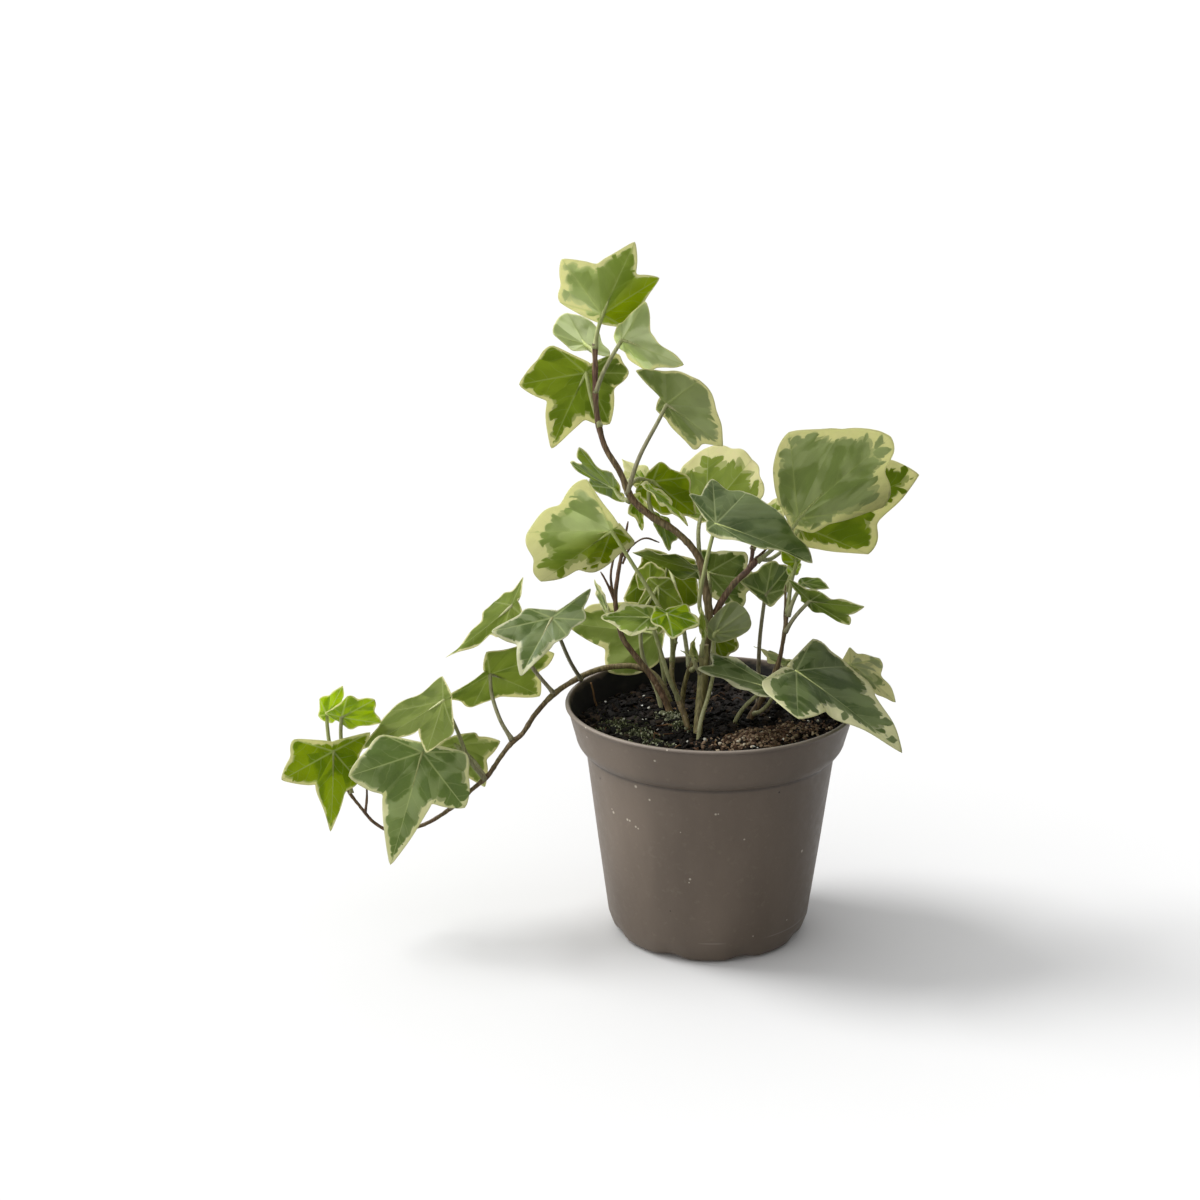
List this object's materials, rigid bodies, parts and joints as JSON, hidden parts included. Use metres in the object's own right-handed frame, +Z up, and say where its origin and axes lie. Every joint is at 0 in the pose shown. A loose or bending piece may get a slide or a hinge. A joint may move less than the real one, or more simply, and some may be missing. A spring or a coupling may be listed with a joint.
{
  "type": "potted ivy",
  "caption": "Variegated ivy with a tall shoot, a trailing shoot and lobed leaves, growing in soil in a round plastic nursery pot.",
  "frame": {"origin": "centre of the pot's flat underside, where the pot stands on a surface", "axes": "+Z up, -Y towards the viewer of the picture, +X to the viewer's right; the trailing shoot hangs towards -X"},
  "size_m": [0.2591, 0.1205, 0.29],
  "materials": {
    "pot": "taupe moulded plastic, satin, with a few pale scuffs and specks",
    "soil": "moist dark potting mix of bark and peat with grit and white perlite",
    "bark": "brown woody stem, satin, with leaf scars and fine lengthwise ridges",
    "green_stem": "young olive to brown stem, satin",
    "leaf_dark": "waxy grey-green upper side with cream margins and pale veins",
    "leaf_pale": "pale matt underside with broad cream margins and raised ribs",
    "leaf_bright": "thin young blade, yellow-green with light through it"
  },
  "bodies": {
    "root": {"pot": "pot", "soil": "soil", "main_stem": "bark", "cut_trunk": "green_stem", "crossing_shoot": "green_stem", "snapped_branch": "bark", "left_stem": "bark", "leaning_shoot": "green_stem", "right_stem": "bark", "trailing_stem": "green_stem", "crown_leaf": "leaf_pale", "crown_back_leaf": "leaf_pale", "upper_left_leaf": "leaf_pale", "upper_right_leaf": "leaf_pale", "shoulder_leaf": "leaf_pale", "left_young_leaf": "leaf_dark", "left_broad_leaf": "leaf_pale", "behind_stem_leaf": "leaf_dark", "curled_stem_leaf": "leaf_dark", "hanging_leaf_left": "leaf_dark", "hanging_leaf_right": "leaf_dark", "middle_dark_leaf": "leaf_pale", "middle_backlit_leaf": "leaf_bright", "long_front_leaf": "leaf_dark", "right_broad_leaf": "leaf_pale", "right_rear_leaf": "leaf_pale", "rear_cream_leaf": "leaf_pale", "bud_leaf_upper": "leaf_dark", "bud_leaf_lower": "leaf_dark", "folded_right_leaf": "leaf_dark", "small_grey_leaf": "leaf_dark", "stalked_dark_leaf": "leaf_dark", "front_broad_leaf": "leaf_dark", "front_low_leaf": "leaf_dark", "right_low_leaf": "leaf_pale", "rim_leaf": "leaf_dark", "centre_variegated_leaf": "leaf_bright", "centre_bright_leaf": "leaf_bright", "centre_dark_leaf": "leaf_dark", "centre_curled_leaf": "leaf_pale", "centre_deep_leaf": "leaf_dark", "centre_arched_leaf": "leaf_pale", "centre_right_leaf": "leaf_dark", "round_grey_leaf": "leaf_dark", "low_green_leaf": "leaf_bright", "back_left_leaf": "leaf_bright", "dry_scale_leaf": "leaf_pale", "edge_leaf_upper": "leaf_bright", "edge_leaf_lower": "leaf_bright", "pale_young_leaf": "leaf_bright", "trail_leaf_1": "leaf_pale", "trail_leaf_2": "leaf_dark", "trail_leaf_3": "leaf_pale", "trail_leaf_4": "leaf_pale", "trail_leaf_5": "leaf_dark", "trail_leaf_6": "leaf_pale", "trail_leaf_7": "leaf_dark", "trail_leaf_8": "leaf_dark", "trail_leaf_9": "leaf_dark"}
  },
  "joints": []
}
